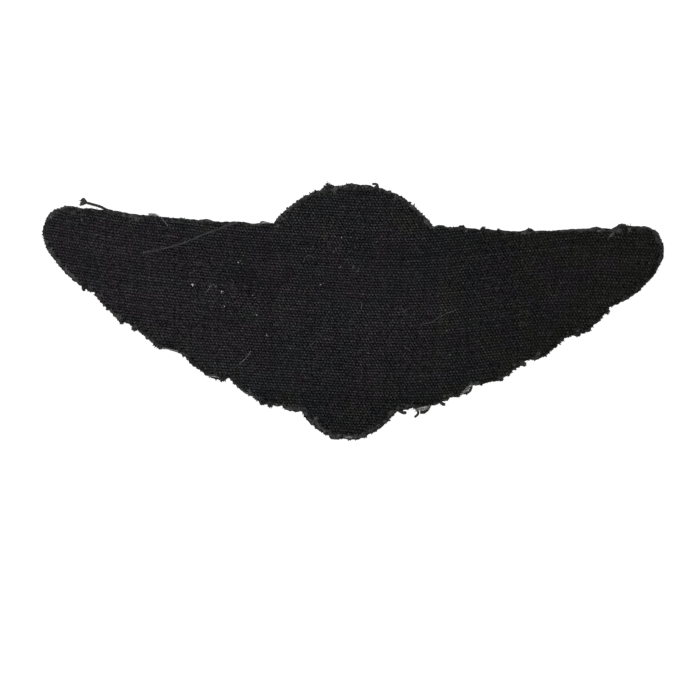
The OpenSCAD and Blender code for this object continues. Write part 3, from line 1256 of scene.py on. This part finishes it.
# %% One socket, with arithmetic
class Wire:
    """A socket of a node. Arithmetic on wires adds Math nodes."""

    def __init__(self, finish, socket):
        self.finish = finish
        self.socket = socket

    def math(self, operation, *values):
        return self.finish.add("Math", dict(enumerate(values)), operation=operation)["Value"]

    def __add__(self, other):
        return self.math("ADD", self, other)

    def __sub__(self, other):
        return self.math("SUBTRACT", self, other)

    def __rsub__(self, other):
        return self.math("SUBTRACT", other, self)

    def __neg__(self):
        return 0.0 - self

    def __mul__(self, other):
        return self.math("MULTIPLY", self, other)

    __radd__ = __add__
    __rmul__ = __mul__

    def __truediv__(self, other):
        return self.math("DIVIDE", self, other)

    def __pow__(self, other):
        return self.math("POWER", self, other)

    def cos(self):
        return self.math("COSINE", self)

    def exp(self):
        return self.math("EXPONENT", self)

    def floor(self):
        return self.math("FLOOR", self)

    def at_least(self, low):
        return self.math("MAXIMUM", self, low)

    def step(self, low, high):
        """0 under low, 1 over high, and smooth between them."""
        inputs = {"Value": self, "From Min": low, "From Max": high}
        return self.finish.add("MapRange", inputs, interpolation_type="SMOOTHSTEP")["Result"]


# %% A material, and its nodes
def socket_named(sockets, name):
    """The socket of that name which is in use."""
    return next(s for s in sockets if s.name == name and s.enabled)


class Node:
    """A node of a finish. Its outputs are taken by name, as wires."""

    def __init__(self, finish, node):
        self.finish = finish
        self.node = node

    def __getitem__(self, name):
        return Wire(self.finish, socket_named(self.node.outputs, name))


class Finish:
    """A material made of nodes, with one Principled shader."""

    COLUMNS = 12

    def __init__(self, name, piece):
        self.material = bpy.data.materials.new(name)
        self.material.use_nodes = True
        self.tree = self.material.node_tree
        self.tree.nodes.clear()
        piece.data.materials.clear()
        piece.data.materials.append(self.material)

    def add(self, kind, inputs=None, **settings):
        """Adds a node: first its settings, then the values or wires of its sockets."""
        row, column = divmod(len(self.tree.nodes), self.COLUMNS)
        node = self.tree.nodes.new("ShaderNode" + kind)
        node.location = (column * 180, -row * 260)
        for name, value in settings.items():
            setattr(node, name, value)
        for name, value in (inputs or {}).items():
            by_number = isinstance(name, int)
            socket = node.inputs[name] if by_number else socket_named(node.inputs, name)
            if isinstance(value, Wire):
                self.tree.links.new(value.socket, socket)
            elif socket.type == "RGBA":
                socket.default_value = (*value, 1)
            else:
                socket.default_value = value
        return Node(self, node)

    def parts(self, vector):
        """The three numbers in a vector."""
        split = self.add("SeparateXYZ", {"Vector": vector})
        return split["X"], split["Y"], split["Z"]

    def joined(self, x, y, z=0.0):
        return self.add("CombineXYZ", {"X": x, "Y": y, "Z": z})["Vector"]

    def noise(self, vector, size, detail=2.0, roughness=0.5):
        """Smooth noise from 0 to 1, with bumps of a size in metres."""
        inputs = {"Vector": vector, "Scale": 1 / size, "Detail": detail, "Roughness": roughness}
        return self.add("TexNoise", inputs)["Fac"]

    def dice(self, vector):
        """A number from 0 to 1 that depends on a vector, for one yarn or crown."""
        return self.add("TexWhiteNoise", {"Vector": vector})["Value"]

    def mix(self, share, first, second):
        """A colour between two colours."""
        inputs = {"Factor": share, "A": first, "B": second}
        return self.add("Mix", inputs, data_type="RGBA")["Result"]

    def tinted(self, amount, colour):
        """A colour made lighter or darker by a number."""
        inputs = {"Vector": colour, "Scale": amount}
        return self.add("VectorMath", inputs, operation="SCALE")["Vector"]

    def bump(self, height, depth):
        """Fine relief, with its height from 0 to 1 and its depth in metres."""
        inputs = {"Strength": 1.0, "Distance": depth, "Height": height}
        return self.add("Bump", inputs)["Normal"]

    def shader(self, **inputs):
        """The Principled shader, with its sockets by name. It comes last."""
        names = {name.replace("_", " "): value for name, value in inputs.items()}
        made = self.add("BsdfPrincipled", names)
        self.add("OutputMaterial", {"Surface": made["BSDF"]})
        print(self.material.name, "is a finish of", len(self.tree.nodes), "nodes")


# %% [markdown]
# ## Pasted cotton
#
# The backing is black cotton, but no black cloth is black all over. The tone paints
# shade into the pits between the crowns, which are nearly black, and painted highlights
# onto the crowns, which are dark grey. No two yarns took the dye alike. The ribs show
# more on the left wing than on the right, the crowns show more on the right, and the
# weave is crispest in the middle. An even noise would look like static, so the tone
# follows the yarn counts that the mesh carries.

# %% The weave, as a tone
LEFT_X = -48 * MM
RIGHT_X = 40 * MM
# how much of a wave the tone has on the left, how much more on the right, and in the middle
RIBS = (0.41, -0.11, 0.12)
LEANING = (0.20, 0.13, 0.12)
CROSSING = (0.10, 0.10, 0.02)
# the darkest painted shade in a pit, and how sharply the painted highlights on the crowns stand out
DARKEST_PAINTED_PIT = 0.06
CONTRAST = 1.75

cotton = Finish("pasted_cotton", backing)
place = cotton.add("TexCoord")["Object"]
x, y, _ = cotton.parts(place)
u, v, gap = cotton.parts(cotton.add("Attribute", attribute_name="cloth")["Vector"])
rightness = x.step(LEFT_X, RIGHT_X)
middle = 4 * rightness * (1 - rightness)
warp = (u + 0.5).floor()
weft = (v + 0.5).floor()
evenness = [0.75 + 0.5 * cotton.dice(cotton.joined(warp, weft, seed)) for seed in (1.0, 2.0, 3.0)]


def wave(turns, shares, uneven):
    """One wave of the weave, as strong as its shares say at each place."""
    share = shares[0] + shares[1] * rightness + shares[2] * middle
    return (math.pi * turns).cos() * share * uneven


def fibres(strength, size):
    """The fine noise of single fibres."""
    return strength * (cotton.noise(place, size, 0.0) - 0.5)


# painted shade and highlight: the tone darkens the pits and lightens the crowns
weave = 1 + wave(2 * v, RIBS, 0.5 + 0.5 * evenness[0])
weave = weave + wave(u + v, LEANING, evenness[1]) + wave(u - v, CROSSING, evenness[2])
weave = weave + (fibres(1.1, 0.34 * MM) + fibres(3.3, 0.16 * MM))
weave = weave.at_least(DARKEST_PAINTED_PIT) ** CONTRAST

# %% [markdown]
# ## Paler and darker places
#
# The left wing is paler than the right, and the top is paler than the lower edge. This
# is painted shade, which darkens the tone away from the lamp, high on the left behind the
# badge. A little dust lies on the middle. The patches that show are listed by their
# place, and each is a soft round spot, because dust has no edge.

# %% The tone of each yarn and place
COTTON_TONE = 0.0082
# painted shade: the share of the tone left on the far right, and at the lower edge
RIGHT_PAINTED_SHADE = 0.66
LOW_PAINTED_SHADE = 0.81
# for each patch: place and half-width in pixels, and how much paler, or darker if negative
PATCHES_PX = (
    (337, 252, 8, 0.3), (237, 293, 7, 0.35), (211, 288, 5, 0.25), (322, 332, 8, 0.22),
    (257, 316, 5, 0.3), (267, 335, 3, 0.3), (555, 291, 6, 0.3), (355, 258, 5, 0.2),
    (92, 247, 9, 0.12), (55, 240, 20, 0.05), (440, 295, 45, 0.14), (345, 320, 45, 0.08),
    (247, 273, 9, -0.25), (245, 285, 45, -0.1), (168, 342, 4, -0.3), (560, 345, 14, -0.2),
    (520, 262, 9, -0.15), (640, 255, 20, -0.07),
)

warp_shade = cotton.dice(cotton.joined(warp, 0.0, 4.0))
weft_shade = cotton.dice(cotton.joined(0.0, weft, 5.0))
crown_shade = cotton.dice(cotton.joined(warp, weft, 6.0))
yarns = (0.9 + 0.2 * warp_shade) * (0.85 + 0.3 * weft_shade) * (0.82 + 0.36 * crown_shade)
blotches = 0.7 + 0.6 * cotton.noise(place, 5 * MM, 3.0, 0.6)
# painted shade, darker towards the lower edge
low_painted_shade = (-y).step(8 * MM, 18 * MM)
patches = 1
for patch_x, patch_y, width, paler in PATCHES_PX:
    middle_x, middle_y, _ = at_pixel(patch_x, patch_y).tolist()
    away = ((x - middle_x) ** 2.0 + (y - middle_y) ** 2.0) / (width * PIXEL) ** 2
    patches = patches + paler * (-away).exp()
# painted shade to the right and at the lower edge, times random blotches and dust patches
places = (1 + (RIGHT_PAINTED_SHADE - 1) * rightness) * (1 + (LOW_PAINTED_SHADE - 1) * low_painted_shade) * blotches * patches
tone = COTTON_TONE * places * weave * yarns

# %% [markdown]
# ## The dye
#
# Black dye is never quite neutral. It leans to purple in some patches, to a slate blue
# in others, and on the right wing to olive. Two noises choose between three colours,
# and the tone scales the colour. The twist and the fluff of the yarns are too fine for
# the mesh, so they are bump.

# %% The colour and the bump of the backing
PURPLE = (1.07, 0.92, 1.10)
SLATE = (0.95, 0.98, 1.08)
OLIVE = (1.01, 1.03, 0.93)
RIM_REACH_MM = 1.8
# stripes of the twist to each warp yarn and to each weft yarn
TWISTS = (2.0, 5.0)

uneven = 0.06 * (evenness[0] - 1)
by_edge = (-gap / RIM_REACH_MM).exp()
far_right = x.step(4 * MM, 48 * MM)
far_left = (-x).step(5 * MM, 40 * MM)
purple = cotton.noise(place, 4 * MM, 4.0, 0.7) + uneven + 0.1 * far_left - 0.2 * by_edge
olive = cotton.noise(place, 5 * MM, 4.0, 0.7) + uneven + 0.22 * far_right + 0.06 * by_edge
dye = cotton.mix(purple.step(0.45, 0.59), cotton.mix(olive.step(0.5, 0.66), SLATE, OLIVE), PURPLE)
twist = (2 * math.pi * (v * TWISTS[1] + u * TWISTS[0])).cos()
fluff = cotton.noise(place, 0.09 * MM, 2.0, 0.7)
cotton.shader(
    Base_Color=cotton.tinted(tone, dye),
    Roughness=0.85,
    Specular_IOR_Level=0.03,
    Normal=cotton.bump(0.2 * twist + fluff, 0.05 * MM),
)

# %% [markdown]
# ## Wool
#
# Felt takes dye well but scatters more light than cotton, because every hair catches
# some. Its finish is a mat of fine fibres: noise that is stretched two ways and laid
# over itself. Dust and paste leave paler patches on the rubbed rim, and the cut side is
# more even.

# %% Finish of the felt
WOOL_TONE = 0.022
WOOL = (1.0, 1.0, 1.01)
WARM_WOOL = (1.02, 1.01, 0.96)
# turn and stretch of the two layers of fibres
STRETCHES = (((0.3, 0.2, 0.6), (1, 0.18, 0.6)), ((0.1, 0.5, 2.0), (1, 0.2, 0.6)))

wool = Finish("black_wool", felt)
place = wool.add("TexCoord")["Object"]
mat = 0.0
for turn, stretch in STRETCHES:
    inputs = {"Vector": place, "Rotation": turn, "Scale": stretch}
    mat = 0.5 * wool.noise(wool.add("Mapping", inputs)["Vector"], 0.08 * MM) + mat
pale = wool.noise(place, 1.6 * MM, 3.0, 0.65).step(0.5, 0.7)
clumps = wool.noise(place, 0.6 * MM, 1.0).step(0.38, 0.62)
rubbed = wool.parts(place)[2].step(1.35 * MM, 1.6 * MM)
clumping = 1.05 + (0.4 + 1.1 * rubbed) * (clumps - 0.5)
tone = WOOL_TONE * (0.4 + 1.2 * mat) * clumping * (1 + (0.2 + 0.5 * rubbed) * pale)
wool.shader(
    Base_Color=wool.tinted(tone, wool.mix(pale, WOOL, WARM_WOOL)),
    Roughness=0.95,
    Specular_IOR_Level=0.03,
    Normal=wool.bump(mat, 0.08 * MM),
)

# %% [markdown]
# ## Hairs, threads and lint
#
# The strands read their shade from their map. Towards the root their tone is darkened
# by painted shade, for where they lie deep in the wool. One function makes all their
# finishes, because wool, thread and lint differ only in how dark and how pale they get
# and in their two colours.

# %% Finish of everything that is made of strands
LINT_COLOURS = ((1.04, 0.98, 1.03), (0.98, 0.99, 1.03))


def strand_finish(name, piece, dark, light, colours):
    """A finish for strands, with the tones of the darkest and the lightest."""
    finish = Finish(name, piece)
    across, along, _ = finish.parts(finish.add("UVMap", uv_map="OFBake")["UV"])
    strip = (across * float(STRIPS)).floor()
    shade = strip / float(STRIPS - 1)
    # painted shade: the tone darkens towards the root of each strand
    tone = (dark + (light - dark) * shade**1.5) * (0.65 + 0.35 * along)
    colour = finish.mix(finish.dice(finish.joined(strip, 9.0)), *colours)
    finish.shader(
        Base_Color=finish.tinted(tone, colour),
        Roughness=0.8 + 0.15 * shade,
        Specular_IOR_Level=0.03,
    )


strand_finish("wool_hair", fuzz, 0.010, 0.085, (WOOL, WARM_WOOL))
strand_finish("tuft_hair", dark_tufts, 0.010, 0.07, (WOOL, WARM_WOOL))
strand_finish("rubbed_wool", mats, 0.011, 0.10, (WOOL, WARM_WOOL))
strand_finish("cut_cotton", stubs, 0.008, 0.035, (PURPLE, OLIVE))
strand_finish("black_thread", threads, 0.012, 0.05, (WOOL, WARM_WOOL))
strand_finish("pale_fluff", pale_fringes, 0.04, 0.5, (WARM_WOOL, WOOL))
strand_finish("white_lint", lint, 0.04, 0.75, LINT_COLOURS)

# %% [markdown]
# ## The table underneath, and the light
#
# The badge lies on a light table, a sheet of white plastic that is lit from below, as
# small things often are for a catalogue. The ground turns white and the shadows all but
# vanish. One large soft lamp stands high on the left behind the badge. The rest of the
# light comes from all round, as in a tent of white cloth.

# %% White table
TABLE_SIZE = 3.0
GLOW = 0.98

table_shape = bmesh.new()
bmesh.ops.create_grid(table_shape, x_segments=1, y_segments=1, size=TABLE_SIZE / 2)
table = finished(table_shape, "white_table")
if table.data.polygons[0].normal.z < 0:
    table.data.flip_normals()
white = Finish("white_plastic", table)
grain = white.noise(white.add("TexCoord")["Object"], 1.2 * MM, 3.0)
white.shader(
    Base_Color=white.mix(grain, (0.05, 0.05, 0.05), (0.06, 0.06, 0.059)),
    Roughness=0.6,
    Emission_Color=(1, 1, 1),
    Emission_Strength=GLOW,
)

# %% A soft lamp and a white surrounding
LAMP_PLACE = (-0.40, 0.35, 0.80)
LAMP_SIZE = 0.5
LAMP_WATTS = 9
SURROUND = 1.0

lamp_data = bpy.data.lights.new("soft_lamp", "AREA")
lamp_data.shape = "DISK"
lamp_data.size = LAMP_SIZE
lamp_data.energy = LAMP_WATTS
lamp = placed("soft_lamp", lamp_data)
lamp.location = LAMP_PLACE
lamp.rotation_euler = (-Vector(LAMP_PLACE)).to_track_quat("-Z", "Y").to_euler()

world = bpy.data.worlds.new("surrounding")
world.use_nodes = True
background = world.node_tree.nodes["Background"]
background.inputs["Color"].default_value = (1, 1, 1, 1)
background.inputs["Strength"].default_value = SURROUND
bpy.context.scene.world = world
bpy.context.scene.view_settings.view_transform = "Standard"

# %% [markdown]
# ## What each piece is
#
# Both layers are flat cloth that lies still. Neither moves, so every piece rides on the
# badge itself. The felt rests on the table and the cotton on the felt, and the strands
# go with the layer that they grow from.

on_felt = [fuzz, dark_tufts, threads]
on_cotton = [stubs, mats, pale_fringes, lint]

for piece in (felt, backing, *on_felt, *on_cotton):
    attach(piece, "root")
for piece, node in ((felt, "felt_ground"), (backing, "backing_cloth")):
    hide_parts(node)
